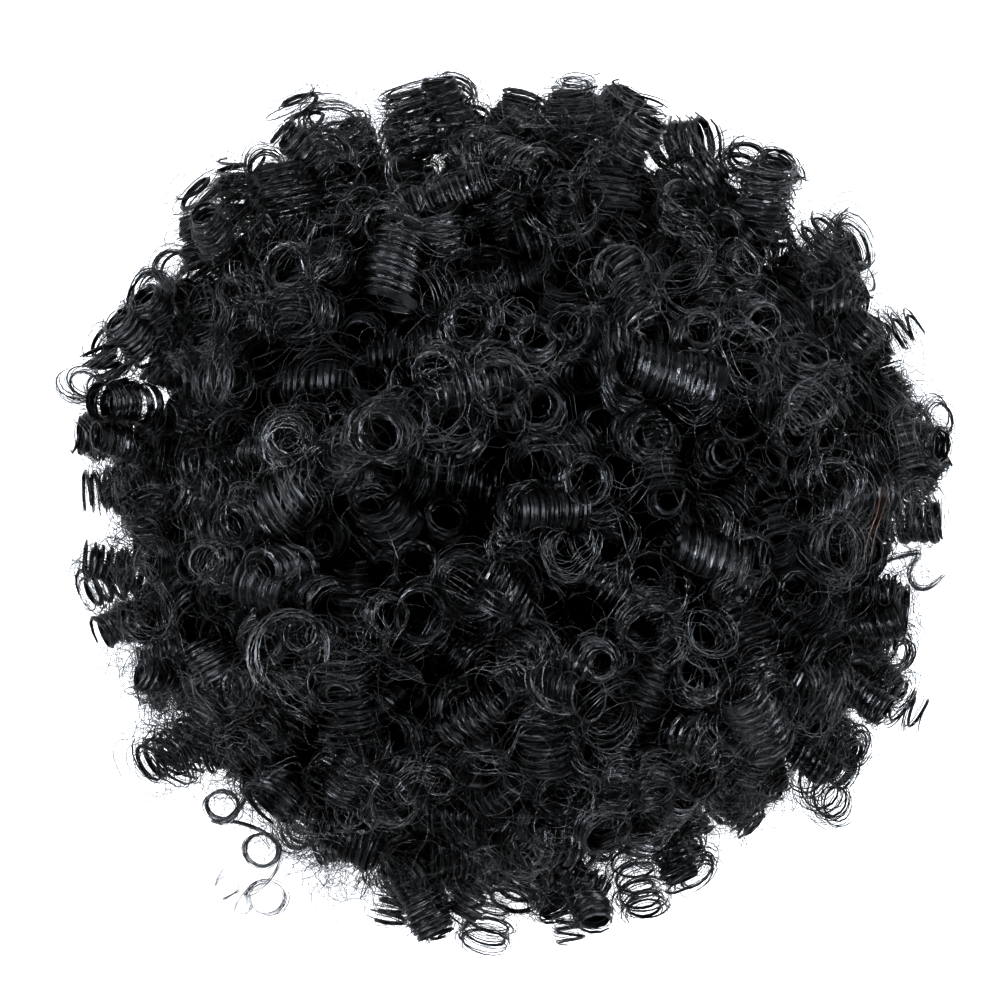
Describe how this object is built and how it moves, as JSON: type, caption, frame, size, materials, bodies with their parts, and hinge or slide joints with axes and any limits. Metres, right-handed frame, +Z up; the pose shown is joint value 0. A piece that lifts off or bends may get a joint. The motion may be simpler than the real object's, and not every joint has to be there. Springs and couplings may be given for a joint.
{
  "type": "afro bun hairpiece",
  "caption": "Rounded dome of tight black ringlets on a stretch cap, with an elastic band and combs at its opening, that slips over a hair bun.",
  "frame": {"origin": "middle of the opening, on the plane that the hairpiece rests on", "axes": "+Z up through the crown of the puff, -Y towards the front comb, +X to the right seen from the front"},
  "size_m": [0.2467, 0.2446, 0.1352],
  "materials": {
    "curls": "black synthetic hair fibre with a soft sheen",
    "cap_net": "matt black stretch net",
    "elastic": "matt black ribbed elastic",
    "comb": "black plastic, slightly glossy"
  },
  "bodies": {
    "root": {"curls": "curls", "cap": "cap_net", "rim_band": "elastic", "comb_front": "comb", "comb_back": "comb"}
  },
  "joints": []
}
